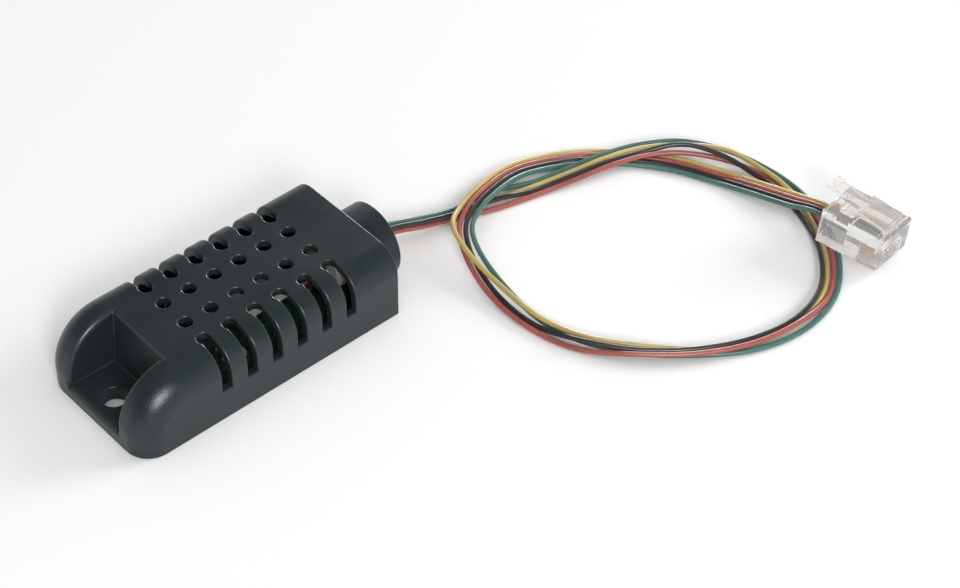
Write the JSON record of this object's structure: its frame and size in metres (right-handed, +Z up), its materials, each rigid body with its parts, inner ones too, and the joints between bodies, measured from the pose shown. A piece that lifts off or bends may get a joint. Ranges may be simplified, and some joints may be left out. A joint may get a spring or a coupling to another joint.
{
  "type": "temperature humidity sensor",
  "caption": "Vented slab-shaped temperature and humidity sensor case with a recessed screw tab, loose wires in a loop and a clear modular plug with a sprung latch.",
  "frame": {"origin": "on the table, under the middle of the case and its cable boss", "axes": "+X along the case towards the wires, +Y across it, +Z up"},
  "size_m": [0.1295, 0.0751, 0.0135],
  "materials": {
    "case_plastic": "fine moulded grain with a soft sheen",
    "board_laminate": "green solder mask",
    "ivory_plastic": "satin moulded",
    "sensing_film": "matt coated plate with fine comb lines",
    "tinned_metal": "bright tin",
    "bead_epoxy": "smooth dipped epoxy",
    "chip_resin": "fine matt moulding",
    "capacitor_ceramic": "fired ceramic",
    "resistor_body": "glazed top",
    "seal_resin": "cast resin",
    "green_insulation": "soft gloss",
    "yellow_insulation": "soft gloss",
    "black_insulation": "soft gloss",
    "red_insulation": "soft gloss",
    "clear_plastic": "clear, polished mould",
    "contact_gold": "plated, polished"
  },
  "bodies": {
    "sensor": {"upper_shell": "case_plastic", "mounting_end": "case_plastic", "base_cover": "case_plastic", "circuit_board": "board_laminate", "humidity_frame": "ivory_plastic", "sensing_plate": "sensing_film", "humidity_legs": "tinned_metal", "thermistor_bead": "bead_epoxy", "thermistor_leads": "tinned_metal", "microcontroller": "chip_resin", "microcontroller_pins": "tinned_metal", "chip_capacitors": "capacitor_ceramic", "chip_resistors": "resistor_body", "solder_joints": "tinned_metal", "wire_seal": "seal_resin", "green_wire": "green_insulation", "yellow_wire": "yellow_insulation", "black_wire": "black_insulation", "red_wire": "red_insulation", "plug_housing": "clear_plastic", "plug_contacts": "contact_gold"},
    "latch": {"plug_latch": "clear_plastic"}
  },
  "joints": [
    {"name": "latch_press", "type": "hinge", "parent": "sensor", "child": "latch", "pos_m": [0.0953, -0.05844, 0.00779], "axis": [-0.9746, -0.1755, 0.1391], "range_deg": [0, 7], "stiffness_Nm_per_rad": 0.02}
  ]
}
